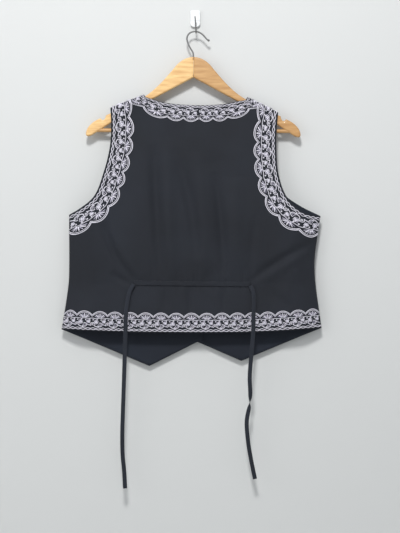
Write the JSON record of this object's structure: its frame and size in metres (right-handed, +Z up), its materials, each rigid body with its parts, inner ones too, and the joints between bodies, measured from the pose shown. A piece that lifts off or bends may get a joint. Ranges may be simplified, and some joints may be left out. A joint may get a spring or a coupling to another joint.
{
  "type": "embroidered folk vest, back outward on a wooden hanger and an adhesive wall hook",
  "caption": "Cropped sleeveless cotton folk vest with scalloped embroidered edging and a drawstring waist, hung on a wooden hanger from a wall hook.",
  "frame": {"origin": "middle of the hook pad's back face, on the wall: the place that holds everything up", "axes": "+X to the right as seen from the back of the vest, +Y into the wall, +Z up"},
  "size_m": [0.5366, 0.0444, 0.9867],
  "materials": {
    "cotton": "matt",
    "cotton_front": "matt",
    "edging": "satin thread",
    "tape": "matt",
    "button": "satin",
    "wood_light": "lacquered",
    "wood_dark": "lacquered",
    "steel": "satin",
    "plastic": "satin"
  },
  "bodies": {
    "root": {"back_panel": "cotton", "front_left": "cotton_front", "front_right": "cotton_front", "neck_trim_left": "edging", "neck_trim_right": "edging", "armhole_trim_left": "edging", "armhole_trim_right": "edging", "hem_trim": "edging", "waist_casing": "cotton", "tie_left": "tape", "tie_right": "tape", "button_1": "button", "button_2": "button", "button_3": "button", "button_4": "button", "hanger_arm_left": "wood_light", "hanger_arm_right": "wood_dark", "hanger_bar": "wood_dark", "hanger_hook": "steel", "wall_pad": "plastic", "wall_hook_wire": "steel"}
  },
  "joints": []
}
